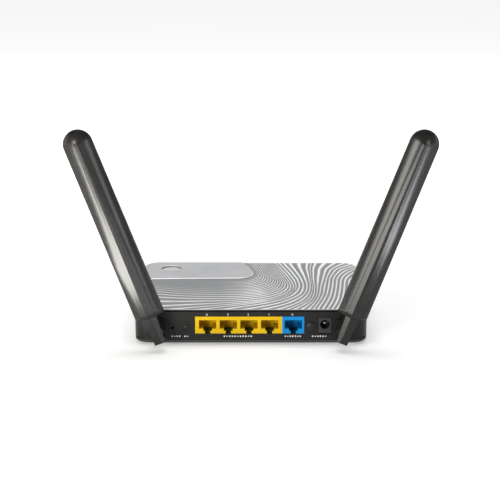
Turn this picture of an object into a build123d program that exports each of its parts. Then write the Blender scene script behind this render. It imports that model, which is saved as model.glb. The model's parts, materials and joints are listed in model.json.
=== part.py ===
from build123d import *
import os
from math import atan, cos, degrees, radians, sin

os.makedirs("parts", exist_ok=True)

# ---------------------------------------------------------------------------
# Driving dimensions, millimetres. X runs along the width, Y from the port side
# to the front, Z up. The origin is under the middle of the whole object, on
# the surface that the feet stand on. Sketches use y measured from the rear face.
# ---------------------------------------------------------------------------
width = 158.0
depth = 110.0
corner_radius = 10.5
wall = 2.0

foot_height = 1.5
strip_height = 2.15
groove_depth = 1.0
groove_height = 0.95
floor_thickness = 1.8
lid_top_rear = 25.9
lid_rise = 0.9
lid_thickness = 1.8
lid_rim = 1.0
shadow_gap = 0.8
fit_gap = 0.15

board_width = 130.0
board_depth = 100.0
board_rear = 3.0
board_bottom = 6.8
board_thickness = 1.6

port_pitch = 13.97
first_port_x = -29.3
wan_port_x = 28.6
jack_left = -37.7
jack_split = 21.05
jack_right = 35.9
jack_top = 20.3
jack_face = -0.3
jack_depth = 16.0

power_button_x = 40.8
power_button_z = 13.3
power_button_radius = 3.5
power_jack_x = 49.9
power_jack_z = 14.6
fn_button_x = -43.8
fn_button_radius = 2.2
reset_x = -52.9
side_switch_z = 12.5
function_button_x = -59.3
function_button_y = 94.6
function_button_sink = 1.0

swivel_x = 62.6
swivel_z = 12.9
pin_reach = 12.0
lean = 20.7
antenna_length = 145.4
paddle_start = 12.4
crest = 5.0
paddle_back = -4.0

# ---------------------------------------------------------------------------
# Levels and planes worked out from them
# ---------------------------------------------------------------------------
rear_y = -(depth - pin_reach - crest) / 2
strip_top = foot_height + strip_height
frame_bottom = strip_top + groove_height
board_top = board_bottom + board_thickness
lid_slope = degrees(atan(lid_rise / depth))


def level(z):
    """Horizontal plane at height z, its origin at the middle of the rear face."""
    return Plane(origin=(0, rear_y, z))


def facing(y):
    """Upright plane a distance y inside the rear face; it looks out of the rear."""
    return Plane(origin=(0, rear_y + y, 0), x_dir=(1, 0, 0), z_dir=(0, -1, 0))


def lid_plane(drop):
    """Plane parallel to the lid's sloping top, a distance drop below it."""
    tilt = radians(lid_slope)
    top = Plane(origin=(0, rear_y, lid_top_rear), x_dir=(1, 0, 0), z_dir=(0, -sin(tilt), cos(tilt)))
    return top.offset(-drop)


def lid_height(y):
    """Height of the lid's top a distance y inside the rear face."""
    return lid_top_rear + lid_rise * y / depth


def housing_outline(inset=0.0, mode=Mode.ADD):
    """Rounded rectangle of the housing, seen from above."""
    with Locations((0, depth / 2)):
        RectangleRounded(width - 2 * inset, depth - 2 * inset, corner_radius - inset, mode=mode)


def save(piece, label):
    """Label a finished piece and write its STEP file."""
    piece.part.label = label
    export_step(piece.part, f"parts/{label}.step")


# ---------------------------------------------------------------------------
# Housing: bottom cover, feet, frame and top cover
# ---------------------------------------------------------------------------
case_screw_places = [(x, y) for x in (-70.5, 70.5) for y in (10.5, 99.5)]
board_screw_places = [(-60, 40), (60, 40), (-44, 97), (44, 97)]
foot_places = [(x, y) for x in (-58, 58) for y in (14, 96)]
keyhole_places = [(x, 55) for x in (-40, 40)]
vent_places = [(column * 7.0, row) for column in range(-3, 4) for row in (34, 76)]

foot_radius = 5.0
foot_recess = 0.6
case_screw_boss = 4.2
case_screw_radius = 1.25
case_head_radius = 2.5
case_head_top = 5.6
case_boss_top = 7.8
board_screw_radius = 1.0
inner_floor = foot_height + floor_thickness

with BuildPart() as bottom_cover:
    with BuildSketch(level(foot_height)):
        housing_outline()
    extrude(amount=strip_height)
    chamfer(bottom_cover.faces().sort_by(Axis.Z)[0].edges(), 0.8)
    with BuildSketch(level(strip_top)):
        housing_outline(groove_depth)
    extrude(amount=groove_height)
    with BuildSketch(level(frame_bottom)):
        housing_outline(wall + fit_gap)
    extrude(amount=2.0)
    with BuildSketch(level(inner_floor)):
        housing_outline(wall + fit_gap + 1.2)
    extrude(amount=6.0, mode=Mode.SUBTRACT)
    with BuildSketch(level(inner_floor)):
        with Locations(*case_screw_places):
            Circle(case_screw_boss)
    extrude(amount=case_boss_top - inner_floor)
    with BuildSketch(level(inner_floor)):
        with Locations(*board_screw_places):
            Circle(2.8)
    extrude(amount=board_bottom - inner_floor)
    with BuildSketch(level(foot_height)):
        with Locations(*case_screw_places):
            Circle(case_head_radius + 0.2)
    extrude(amount=case_head_top - foot_height, mode=Mode.SUBTRACT)
    with BuildSketch(level(foot_height)):
        with Locations(*case_screw_places):
            Circle(case_screw_radius + 0.15)
    extrude(amount=case_boss_top, mode=Mode.SUBTRACT)
    with BuildSketch(level(inner_floor + 0.4)):
        with Locations(*board_screw_places):
            Circle(board_screw_radius)
    extrude(amount=board_bottom, mode=Mode.SUBTRACT)
    with BuildSketch(level(foot_height)):
        with Locations(*foot_places):
            Circle(foot_radius + fit_gap)
    extrude(amount=foot_recess, mode=Mode.SUBTRACT)
    with BuildSketch(level(foot_height)):
        with Locations(*keyhole_places):
            Circle(3.6)
        with Locations(*[(x, y + 4.5) for x, y in keyhole_places]):
            SlotOverall(9.0, 3.8, rotation=90)
        with Locations(*vent_places):
            SlotOverall(22.0, 2.0, rotation=90)
    extrude(amount=floor_thickness, mode=Mode.SUBTRACT)
save(bottom_cover, "bottom_cover")

with BuildPart() as rubber_feet:
    with BuildSketch(level(0)):
        with Locations(*foot_places):
            Circle(foot_radius)
    extrude(amount=foot_height + foot_recess)
    fillet(rubber_feet.faces().group_by(Axis.Z)[0].edges(), 0.5)
save(rubber_feet, "rubber_feet")

with BuildPart() as case_screws:
    with BuildSketch(level(case_head_top - 1.6)):
        with Locations(*case_screw_places):
            Circle(case_head_radius)
    extrude(amount=1.6)
    with BuildSketch(level(case_head_top)):
        with Locations(*case_screw_places):
            Circle(case_screw_radius)
    extrude(amount=10.0)
    with BuildSketch(level(case_head_top - 1.6)):
        with Locations(*case_screw_places):
            Rectangle(2.6, 0.6)
            Rectangle(0.6, 2.6)
    extrude(amount=0.8, mode=Mode.SUBTRACT)
save(case_screws, "case_screws")

swivel_places = [(-swivel_x, swivel_z), (swivel_x, swivel_z)]
seat_radius = 7.0
seat_depth = 0.8
seat_boss_radius = 6.2
seat_boss_end = 3.6
stub_radius = 4.0
window_places = [((index - 3.5) * 9.0, 17.0) for index in range(8)]
window_length = 3.2
window_height = 1.4
power_jack_width = 8.8
power_jack_top = 19.1

with BuildPart() as mid_frame:
    with BuildSketch(level(frame_bottom)):
        housing_outline()
        housing_outline(wall, mode=Mode.SUBTRACT)
    extrude(amount=24.0)
    split(bisect_by=lid_plane(lid_rim), keep=Keep.BOTTOM)
    with BuildSketch(lid_plane(lid_rim + shadow_gap)):
        housing_outline(-1.0)
        housing_outline(groove_depth, mode=Mode.SUBTRACT)
    extrude(amount=2.0, mode=Mode.SUBTRACT)
    gap_plane = lid_plane(lid_rim + shadow_gap)
    gap_floor = mid_frame.faces().filter_by(lambda f: abs(gap_plane.to_local_coords(f.center()).Z) < 0.01)
    chamfer(gap_floor[0].outer_wire().edges(), 0.6)
    with BuildSketch(facing(seat_boss_end)):
        with Locations(*swivel_places):
            Circle(seat_boss_radius)
    extrude(amount=seat_boss_end - wall)
    with BuildSketch(facing(seat_depth)):
        with Locations(*swivel_places):
            Circle(seat_radius)
    extrude(amount=seat_depth + 0.2, mode=Mode.SUBTRACT)
    with BuildSketch(facing(seat_boss_end + 0.2)):
        with Locations(*swivel_places):
            Circle(stub_radius + 0.05)
        with Locations(((jack_left + jack_right) / 2, (board_top + jack_top) / 2)):
            Rectangle(jack_right - jack_left + 0.2, jack_top - board_top + 0.2)
        with Locations((power_jack_x, (board_top + power_jack_top) / 2)):
            Rectangle(power_jack_width + 0.8, power_jack_top - board_top + 0.8)
        with Locations((power_button_x, power_button_z)):
            Circle(power_button_radius + 0.25)
        with Locations((fn_button_x, side_switch_z)):
            Circle(fn_button_radius + 0.2)
        with Locations((reset_x, side_switch_z)):
            Circle(1.2)
    extrude(amount=seat_boss_end + 1.0, mode=Mode.SUBTRACT)
    with BuildSketch(facing(depth + 0.2)):
        with Locations(*window_places):
            SlotOverall(window_length + 0.1, window_height + 0.1)
    extrude(amount=wall + 1.0, mode=Mode.SUBTRACT)
save(mid_frame, "mid_frame")

function_hole = 7.15

with BuildPart() as top_cover:
    with BuildSketch(level(20.0)):
        housing_outline()
    extrude(amount=10.0)
    split(bisect_by=lid_plane(0), keep=Keep.BOTTOM)
    split(bisect_by=lid_plane(lid_rim), keep=Keep.TOP)
    chamfer(top_cover.faces().sort_by(Axis.Z)[-1].edges(), 0.4)
    with BuildSketch(lid_plane(lid_thickness)):
        housing_outline(wall + fit_gap)
    extrude(amount=lid_thickness - lid_rim + 0.3)
    with BuildSketch(lid_plane(lid_thickness + 2.5)):
        housing_outline(wall + fit_gap)
        housing_outline(wall + fit_gap + 1.2, mode=Mode.SUBTRACT)
    extrude(amount=2.5 + 0.4)
    for x, y in case_screw_places:
        with BuildSketch(level(case_boss_top)):
            with Locations((x, y)):
                Circle(3.2)
        extrude(amount=lid_height(y) - lid_thickness + 0.3 - case_boss_top)
    with BuildSketch(level(case_boss_top)):
        with Locations(*case_screw_places):
            Circle(case_screw_radius)
    extrude(amount=9.0, mode=Mode.SUBTRACT)
    with BuildSketch(level(20.0)):
        with Locations((function_button_x, function_button_y)):
            Circle(function_hole)
    extrude(amount=10.0, mode=Mode.SUBTRACT)
save(top_cover, "top_cover")

# ---------------------------------------------------------------------------
# Circuit board and what is soldered on it
# ---------------------------------------------------------------------------
notch_x = 56.0
notch_y = 8.0

with BuildPart() as circuit_board:
    with BuildSketch(level(board_bottom)):
        with Locations((0, board_rear + board_depth / 2)):
            Rectangle(board_width, board_depth)
        for side in (-1, 1):
            with Locations((side * (notch_x + 10), notch_y / 2)):
                Rectangle(20, notch_y, mode=Mode.SUBTRACT)
        with Locations(*board_screw_places):
            Circle(board_screw_radius + 0.1, mode=Mode.SUBTRACT)
    extrude(amount=board_thickness)
save(circuit_board, "circuit_board")

with BuildPart() as board_screws:
    with BuildSketch(level(inner_floor + 0.6)):
        with Locations(*board_screw_places):
            Circle(board_screw_radius)
    extrude(amount=board_top - inner_floor - 0.6)
    with BuildSketch(level(board_top)):
        with Locations(*board_screw_places):
            Circle(2.0)
    extrude(amount=1.2)
save(board_screws, "board_screws")


def chip(label, places, length, breadth, height, base=board_top):
    """A group of equal flat-topped blocks that stand on the board."""
    with BuildPart() as block:
        with BuildSketch(level(base)):
            with Locations(*places):
                Rectangle(length, breadth)
        extrude(amount=height)
    save(block, label)


processor_place = (6, 58)
processor_height = 1.2
pad_height = 0.5
led_places = [(x, 99.0) for x, z in window_places]
can_place = (-32, 60)
can_size = 26.0
can_height = 3.0

chip("processor", [processor_place], 14, 14, processor_height)
chip("thermal_pad", [processor_place], 14, 14, pad_height, board_top + processor_height)
chip("memory_chip", [(32, 58)], 8, 12.5, 1.0)
chip("flash_chip", [(32, 76)], 8, 5.2, 1.6)
chip("radio_chip", [can_place], 9, 9, 0.9)
chip("lan_transformers", [(-20, 25), (12, 25)], 24, 8.4, 5.4)
chip("inductor", [(48, 30)], 7, 7, 4.0)
chip("crystal", [(24, 70)], 4.6, 11.0, 3.4)
chip("indicator_leds", led_places, 1.6, 0.8, 0.6)

with BuildPart() as shield_can:
    with BuildSketch(level(board_top)):
        with Locations(can_place):
            RectangleRounded(can_size, can_size, 1.0)
    extrude(amount=can_height)
    with BuildSketch(level(board_top)):
        with Locations(can_place):
            RectangleRounded(can_size - 0.6, can_size - 0.6, 0.7)
    extrude(amount=can_height - 0.3, mode=Mode.SUBTRACT)
save(shield_can, "shield_can")

sink_size = 28.0
sink_base = 2.0
sink_fin_height = 8.0
sink_bottom = board_top + processor_height + pad_height

with BuildPart() as heat_sink:
    with BuildSketch(level(sink_bottom)):
        with Locations(processor_place):
            Rectangle(sink_size, sink_size)
    extrude(amount=sink_base)
    with BuildSketch(level(sink_bottom + sink_base)):
        with Locations(processor_place):
            with GridLocations(sink_size / 7.5, 0, 8, 1):
                Rectangle(1.2, sink_size)
    extrude(amount=sink_fin_height)
save(heat_sink, "heat_sink")

with BuildPart() as capacitors:
    with BuildSketch(level(board_top)):
        with Locations((48, 20), (37, 24)):
            Circle(4.0)
    extrude(amount=11.0)
    fillet(capacitors.faces().group_by(Axis.Z)[-1].edges(), 0.6)
save(capacitors, "capacitors")

# ---------------------------------------------------------------------------
# Network sockets: hollow mouldings with eight spring contacts in each opening
# ---------------------------------------------------------------------------
lan_ports = [first_port_x + port_pitch * index for index in range(4)]
cavity_top = 17.8
cavity_shoulder = 11.8
lip_top = 10.2
lip_thickness = 0.8
cavity_width = 11.7
latch_width = 6.0
tab_width = 3.7
cavity_depth = 12.4
contact_pitch = 1.02
contact_width = 0.45
contact_low = 15.1


def port_profile(x, latch_low):
    """Outline of a socket's cavity, with the room for the plug's latch below it down to latch_low."""
    with Locations((x, (cavity_top + cavity_shoulder) / 2)):
        Rectangle(cavity_width, cavity_top - cavity_shoulder)
    with Locations((x, (cavity_shoulder + latch_low) / 2)):
        Rectangle(latch_width, cavity_shoulder - latch_low)


def socket_block(label, left, right, ports):
    """Moulding between two X positions with one opening for each port."""
    with BuildPart() as block:
        with BuildSketch(facing(jack_face + jack_depth)):
            with Locations(((left + right) / 2, (board_top + jack_top) / 2)):
                Rectangle(right - left, jack_top - board_top)
        extrude(amount=jack_depth)
        with BuildSketch(facing(cavity_depth)):
            for x in ports:
                port_profile(x, board_top - 1.0)
        extrude(amount=cavity_depth - lip_thickness, mode=Mode.SUBTRACT)
        with BuildSketch(facing(lip_thickness)):
            for x in ports:
                port_profile(x, lip_top)
                with Locations((x, (lip_top + board_top) / 2 - 0.5)):
                    Rectangle(tab_width, lip_top - board_top + 1.0)
        extrude(amount=lip_thickness + 1.0, mode=Mode.SUBTRACT)
    save(block, label)


def socket_contacts(label, ports):
    """Eight bent spring wires in each opening, fixed in its rear wall."""
    with BuildPart() as contacts:
        for x in ports:
            for index in range(8):
                side = x + (index - 3.5) * contact_pitch - contact_width / 2
                with BuildSketch(Plane(origin=(side, rear_y, 0), x_dir=(0, 1, 0), z_dir=(1, 0, 0))):
                    Polygon(
                        (cavity_depth, 17.6), (2.6, 17.6), (2.2, 17.2), (9.0, contact_low),
                        (9.4, contact_low + 0.3), (3.6, 17.2), (cavity_depth, 17.2), align=None,
                    )
                extrude(amount=contact_width)
    save(contacts, label)


socket_block("lan_jack_block", jack_left, jack_split, lan_ports)
socket_block("wan_jack", jack_split, jack_right, [wan_port_x])
socket_contacts("lan_contacts", lan_ports)
socket_contacts("wan_contacts", [wan_port_x])

# ---------------------------------------------------------------------------
# Power inlet
# ---------------------------------------------------------------------------
barrel_radius = 3.25
barrel_depth = 9.5
power_jack_recess = 0.4
pin_recess = 3.2

with BuildPart() as power_jack:
    with BuildSketch(facing(13.5)):
        with Locations((power_jack_x, (board_top + power_jack_top) / 2)):
            Rectangle(power_jack_width, power_jack_top - board_top)
    extrude(amount=13.5 - power_jack_recess)
    with BuildSketch(facing(barrel_depth)):
        with Locations((power_jack_x, power_jack_z)):
            Circle(barrel_radius)
    extrude(amount=barrel_depth + 1.0, mode=Mode.SUBTRACT)
save(power_jack, "power_jack")

with BuildPart() as power_jack_pin:
    with BuildSketch(facing(barrel_depth)):
        with Locations((power_jack_x, power_jack_z)):
            Circle(1.0)
    extrude(amount=barrel_depth - pin_recess)
    fillet(power_jack_pin.faces().sort_by(Axis.Y)[0].edges(), 0.6)
save(power_jack_pin, "power_jack_pin")

# ---------------------------------------------------------------------------
# Buttons and the switches behind them
# ---------------------------------------------------------------------------
power_travel_room = 15.5
power_dome = 6.5
fn_dome = 4.0

with BuildPart() as power_switch:
    with BuildSketch(facing(17.0)):
        with Locations((power_button_x, 13.0)):
            Rectangle(7.0, 9.2)
    extrude(amount=9.0)
    with BuildSketch(facing(power_travel_room)):
        with Locations((power_button_x, power_button_z)):
            Rectangle(3.3, 3.3)
    extrude(amount=power_travel_room, mode=Mode.SUBTRACT)
save(power_switch, "power_switch")

with BuildPart() as power_plunger:
    with BuildSketch(facing(13.0)):
        with Locations((power_button_x, power_button_z)):
            Rectangle(3.0, 3.0)
    extrude(amount=10.5)
save(power_plunger, "power_plunger")

with BuildPart() as power_button:
    with BuildSketch(facing(5.6)):
        with Locations((power_button_x, power_button_z)):
            Circle(power_button_radius)
    extrude(amount=7.0)
    with Locations((power_button_x, rear_y + 5.6 - 7.0 + power_dome, power_button_z)):
        Sphere(power_dome, mode=Mode.INTERSECT)
    with BuildSketch(facing(5.6)):
        with Locations((power_button_x, power_button_z)):
            Rectangle(3.0, 3.0)
    extrude(amount=5.6 - 2.5, mode=Mode.SUBTRACT)
save(power_button, "power_button")


def side_switch(label, x):
    """Push switch that stands on the board and faces the rear wall."""
    with BuildPart() as switch:
        with BuildSketch(facing(7.6)):
            with Locations((x, (board_top + 15.8) / 2)):
                Rectangle(6.2, 15.8 - board_top)
        extrude(amount=3.4)
        with BuildSketch(facing(5.7)):
            with Locations((x, side_switch_z)):
                Circle(1.6)
        extrude(amount=2.0, mode=Mode.SUBTRACT)
    save(switch, label)


def side_plunger(label, x):
    """Round plunger of a side switch."""
    with BuildPart() as plunger:
        with BuildSketch(facing(4.9)):
            with Locations((x, side_switch_z)):
                Circle(1.5)
        extrude(amount=1.9)
    save(plunger, label)


side_switch("fn_switch", fn_button_x)
side_switch("reset_switch", reset_x)
side_plunger("fn_plunger", fn_button_x)
side_plunger("reset_plunger", reset_x)

with BuildPart() as fn_button:
    with BuildSketch(facing(3.0)):
        with Locations((fn_button_x, side_switch_z)):
            Circle(3.0)
    extrude(amount=0.7)
    with BuildSketch(facing(2.3)):
        with Locations((fn_button_x, side_switch_z)):
            Circle(fn_button_radius)
    extrude(amount=3.1)
    with Locations((fn_button_x, rear_y + 2.3 - 3.1 + fn_dome, side_switch_z)):
        Sphere(fn_dome, mode=Mode.INTERSECT)
save(fn_button, "fn_button")

function_place = (function_button_x, function_button_y)
function_plunger_top = 12.9
function_flange = 23.6

with BuildPart() as function_switch:
    with BuildSketch(level(board_top)):
        with Locations(function_place):
            Rectangle(6.2, 6.2)
    extrude(amount=3.5)
    with BuildSketch(level(board_top + 2.0)):
        with Locations(function_place):
            Circle(1.85)
    extrude(amount=2.0, mode=Mode.SUBTRACT)
save(function_switch, "function_switch")

with BuildPart() as function_plunger:
    with BuildSketch(level(board_top + 2.9)):
        with Locations(function_place):
            Circle(1.75)
    extrude(amount=function_plunger_top - board_top - 2.9)
save(function_plunger, "function_plunger")

with BuildPart() as function_button:
    with BuildSketch(level(function_plunger_top)):
        with Locations(function_place):
            Circle(2.0)
    extrude(amount=function_flange - function_plunger_top)
    with BuildSketch(level(function_flange)):
        with Locations(function_place):
            Circle(8.2)
    extrude(amount=1.0)
    with BuildSketch(level(function_flange + 1.0)):
        with Locations(function_place):
            Circle(7.0)
    extrude(amount=lid_height(function_button_y) - function_button_sink - function_flange - 1.0)
    fillet(function_button.faces().sort_by(Axis.Z)[-1].edges(), 0.3)
save(function_button, "function_button")

# ---------------------------------------------------------------------------
# Light guide: one clear moulding from the indicators to the front windows
# ---------------------------------------------------------------------------
guide_lift = board_top + 0.7

with BuildPart() as light_guide:
    with BuildSketch(level(guide_lift)):
        with Locations(*led_places):
            Rectangle(2.4, 1.6)
    extrude(amount=17.0 + window_height / 2 - guide_lift)
    with BuildSketch(facing(depth - 0.1)):
        with Locations(*window_places):
            SlotOverall(window_length, window_height)
    extrude(amount=depth - 99.1)
    with BuildSketch(facing(104.0)):
        with Locations((0, 17.0)):
            Rectangle(7 * 9.0, window_height)
    extrude(amount=2.0)
save(light_guide, "light_guide")

# ---------------------------------------------------------------------------
# Aerials: swivel, clip, fork, hinge pin, two shells, radiator and feed lead
# ---------------------------------------------------------------------------
lug_width = 4.0
lug_radius = 3.5
pin_radius = 1.25
fork_foot = -7.0
fork_half_top = 4.5
fork_half_foot = 3.7
fork_top = paddle_start - fit_gap
slot_width = 4.3
slot_top = 4.0
slot_front = 3.8
spigot_top = 30.0
spigot_front = 1.0
seam = -0.5
shell_wall = 1.2
paddle_half_foot = 10.0
paddle_half_tip = 9.6
wing_front = 2.2
ridge_end = antenna_length - 12.0
ridge_half = 4.4
ridge_flat = 1.35
ridge_shoulder = 3.7
lead_radius = 0.9
lead_offset = -1.3


def aerial_plane(side):
    """Plane through the hinge pin: x across the aerial, y along it, z out of the rear."""
    tilt = radians(lean)
    pin = (side * swivel_x, rear_y - pin_reach, swivel_z)
    return Plane(origin=pin, x_dir=(cos(tilt), 0, -side * sin(tilt)), z_dir=(0, -1, 0))


def cross_plane(plane, along):
    """Plane square to the aerial at a distance along it: x across, y out of the rear."""
    return Plane(origin=plane.from_local_coords((0, along, 0)), x_dir=plane.x_dir, z_dir=-plane.y_dir)


def profile_plane(plane):
    """Plane square to the hinge pin: x out of the rear, y along the aerial."""
    return Plane(origin=plane.origin, x_dir=plane.z_dir, z_dir=-plane.x_dir)


def paddle_outline(inset=0.0):
    """Long tapered outline with a round tip and a square foot."""
    tip = antenna_length - paddle_half_tip
    foot = paddle_start + inset
    half_foot = paddle_half_foot - inset
    half_tip = paddle_half_tip - inset
    Polygon((half_tip, tip), (-half_tip, tip), (-half_foot, foot), (half_foot, foot), align=None)
    with Locations((0, tip)):
        Circle(half_tip)


def ridge_sections(inset):
    """Foot and tip of the front shell's ridge: place along it and outline across it."""
    sections = []
    for along, foot_half, half, shoulder, flat, front in (
        (paddle_start + inset, 9.0, ridge_half, ridge_shoulder, ridge_flat, crest),
        (ridge_end - inset, 3.0, 1.8, wing_front + 0.9, 0.5, wing_front + 1.2),
    ):
        base = wing_front - inset - 0.2
        right = [(foot_half, base), (half, shoulder - inset), (flat, front - inset)]
        left = [(-across, depth_out) for across, depth_out in reversed(right)]
        sections.append((along, right + left))
    return sections


def swivel_mount(label, plane):
    """Turning disc with a stub through the wall and a lug for the hinge pin."""
    rear_face = -pin_reach
    with BuildPart() as mount:
        with BuildSketch(plane.offset(rear_face - seat_boss_end - 1.0)):
            Circle(stub_radius)
        extrude(amount=seat_boss_end + 1.0)
        with BuildSketch(plane.offset(rear_face - seat_depth + 0.1)):
            Circle(seat_radius - 0.4)
        extrude(amount=1.2)
        with BuildSketch(plane.offset(rear_face + 0.5)):
            Circle(5.1)
        extrude(amount=1.2)
        with BuildSketch(plane.offset(rear_face + 1.7)):
            Circle(3.7)
        extrude(amount=1.8)
        with BuildSketch(profile_plane(plane)):
            with Locations(((rear_face + 3.5) / 2, 0)):
                Rectangle(-rear_face - 3.5, 2 * lug_radius)
            Circle(lug_radius)
        extrude(amount=lug_width / 2, both=True)
        with BuildSketch(profile_plane(plane)):
            Circle(pin_radius + 0.05)
        extrude(amount=lug_width, both=True, mode=Mode.SUBTRACT)
        with BuildSketch(plane.offset(rear_face - seat_boss_end - 1.2)):
            Circle(lead_radius + 0.2)
        extrude(amount=12.5, mode=Mode.SUBTRACT)
    save(mount, label)


def swivel_clip(label, plane):
    """Ring on the inner end of the stub that keeps the swivel in its seat."""
    with BuildPart() as clip:
        with BuildSketch(plane.offset(-pin_reach - seat_boss_end - 0.9)):
            Circle(6.2)
            Circle(stub_radius, mode=Mode.SUBTRACT)
        extrude(amount=0.8)
    save(clip, label)


def hinge_pin(label, plane):
    """Plain pin across the fork."""
    with BuildPart() as pin:
        with BuildSketch(profile_plane(plane)):
            Circle(pin_radius)
        extrude(amount=4.0, both=True)
    save(pin, label)


def fork(label, plane):
    """Hinged foot of the aerial with two ears and a spigot inside the shells."""
    with BuildPart() as foot:
        with BuildSketch(plane.offset(paddle_back)):
            Polygon(
                (-fork_half_foot, fork_foot), (fork_half_foot, fork_foot),
                (fork_half_top, fork_top), (-fork_half_top, fork_top), align=None,
            )
        extrude(amount=crest - paddle_back)
        low_edges = foot.faces().sort_by(Axis(plane.origin, plane.y_dir))[0].edges()
        across = low_edges.filter_by(Axis(plane.origin, plane.x_dir))
        fillet(across, 1.4)
        with BuildSketch(cross_plane(plane, fork_top)):
            Polygon(
                (-fork_half_top, paddle_back), (fork_half_top, paddle_back), (fork_half_top, ridge_shoulder),
                (ridge_flat, crest), (-ridge_flat, crest), (-fork_half_top, ridge_shoulder), align=None,
            )
        extrude(amount=fork_top - fork_foot, mode=Mode.INTERSECT)
        with BuildSketch(cross_plane(plane, spigot_top)):
            with Locations((0, (spigot_front + paddle_back + shell_wall) / 2)):
                Rectangle(8.0, spigot_front - paddle_back - shell_wall)
        extrude(amount=spigot_top - fork_top)
        with BuildSketch(profile_plane(plane)):
            with Locations(((paddle_back + slot_front) / 2 - 0.5, (fork_foot + slot_top) / 2 - 0.5)):
                Rectangle(slot_front - paddle_back + 1.0, slot_top - fork_foot + 1.0)
        extrude(amount=slot_width / 2, both=True, mode=Mode.SUBTRACT)
        with BuildSketch(profile_plane(plane)):
            Circle(pin_radius)
        extrude(amount=6.0, both=True, mode=Mode.SUBTRACT)
        with BuildSketch(cross_plane(plane, spigot_top + 0.2)):
            with Locations((0, lead_offset)):
                Circle(lead_radius)
        extrude(amount=spigot_top, mode=Mode.SUBTRACT)
    save(foot, label)


def front_shell(label, plane):
    """Ridged outer half of the aerial, hollow inside."""
    with BuildPart() as shell:
        with BuildSketch(plane.offset(seam)):
            paddle_outline()
        extrude(amount=wing_front - seam)
        for along, corners in ridge_sections(0.0):
            with BuildSketch(cross_plane(plane, along)):
                Polygon(*corners, align=None)
        loft(ruled=True)
        with BuildSketch(plane.offset(seam)):
            paddle_outline(shell_wall)
        extrude(amount=spigot_front - seam, mode=Mode.SUBTRACT)
        for along, corners in ridge_sections(shell_wall):
            with BuildSketch(cross_plane(plane, along)):
                Polygon(*corners, align=None)
        loft(ruled=True, mode=Mode.SUBTRACT)
        with BuildSketch(plane.offset(seam)):
            with Locations((0, paddle_start)):
                Rectangle(8.0, 4.0)
        extrude(amount=spigot_front - seam, mode=Mode.SUBTRACT)
    save(shell, label)


def back_shell(label, plane):
    """Flat inner half of the aerial, hollow, with posts for the radiator."""
    inner = paddle_back + shell_wall
    with BuildPart() as shell:
        with BuildSketch(plane.offset(paddle_back)):
            paddle_outline()
        extrude(amount=seam - paddle_back)
        fillet(shell.faces().sort_by(Axis(plane.origin, plane.z_dir))[0].edges(), 1.0)
        with BuildSketch(plane.offset(inner)):
            paddle_outline(shell_wall)
        extrude(amount=seam - inner, mode=Mode.SUBTRACT)
        with BuildSketch(plane.offset(inner)):
            with Locations((0, paddle_start)):
                Rectangle(8.0, 4.0)
        extrude(amount=seam - inner, mode=Mode.SUBTRACT)
        with BuildSketch(plane.offset(inner)):
            with Locations((0, 45), (0, 110)):
                Circle(1.5)
        extrude(amount=lead_offset - 0.4 - inner)
    save(shell, label)


def radiator(label, plane):
    """Slim printed board that radiates, on the posts of the back shell."""
    with BuildPart() as board:
        with BuildSketch(plane.offset(lead_offset - 0.4)):
            with Locations((0, spigot_top + 1.0 + 45)):
                Rectangle(10.0, 90.0)
        extrude(amount=0.8)
    save(board, label)


def feed_lead(label, plane):
    """Screened lead from the fork's slot to the foot of the radiator."""
    with BuildPart() as lead:
        with BuildSketch(cross_plane(plane, spigot_top + 1.0)):
            with Locations((0, lead_offset)):
                Circle(lead_radius)
        extrude(amount=spigot_top + 1.0 - slot_top)
    save(lead, label)


for name, side in (("left", -1), ("right", 1)):
    plane = aerial_plane(side)
    swivel_mount(f"{name}_swivel_mount", plane)
    swivel_clip(f"{name}_swivel_clip", plane)
    fork(f"{name}_fork", plane)
    hinge_pin(f"{name}_hinge_pin", plane)
    front_shell(f"{name}_front_shell", plane)
    back_shell(f"{name}_back_shell", plane)
    radiator(f"{name}_radiator", plane)
    feed_lead(f"{name}_feed_lead", plane)

# ---------------------------------------------------------------------------
# Screened leads from the swivels to their board connectors
# ---------------------------------------------------------------------------
connector_place = (40.0, 44.0)
connector_height = 1.6
lead_start = seat_boss_end + 1.1
connector_places = [(-connector_place[0], connector_place[1]), connector_place]
chip("lead_connectors", connector_places, 3.0, 3.0, connector_height)

for name, side in (("left", -1), ("right", 1)):
    route = [
        (side * swivel_x, rear_y + lead_start, swivel_z),
        (side * swivel_x, rear_y + 13.0, swivel_z),
        (side * (swivel_x - 3.0), rear_y + 24.0, board_top + 2.0),
        (side * (connector_place[0] + 9.0), rear_y + connector_place[1], board_top + 1.0),
        (side * (connector_place[0] + 1.5), rear_y + connector_place[1], board_top + 1.0),
    ]
    with BuildPart() as inner_lead:
        with BuildLine():
            path = FilletPolyline(*route, radius=[5.0, 8.0, 5.0])
        with BuildSketch(path ^ 0):
            Circle(lead_radius)
        sweep()
    save(inner_lead, f"{name}_inner_lead")
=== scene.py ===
"""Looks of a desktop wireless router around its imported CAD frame: ribbed silver lid, aerial
shells, printed marks, materials, studio light and camera."""

import json
import math

import bmesh
import bpy
import numpy as np
from mathutils import Matrix, Vector


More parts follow.
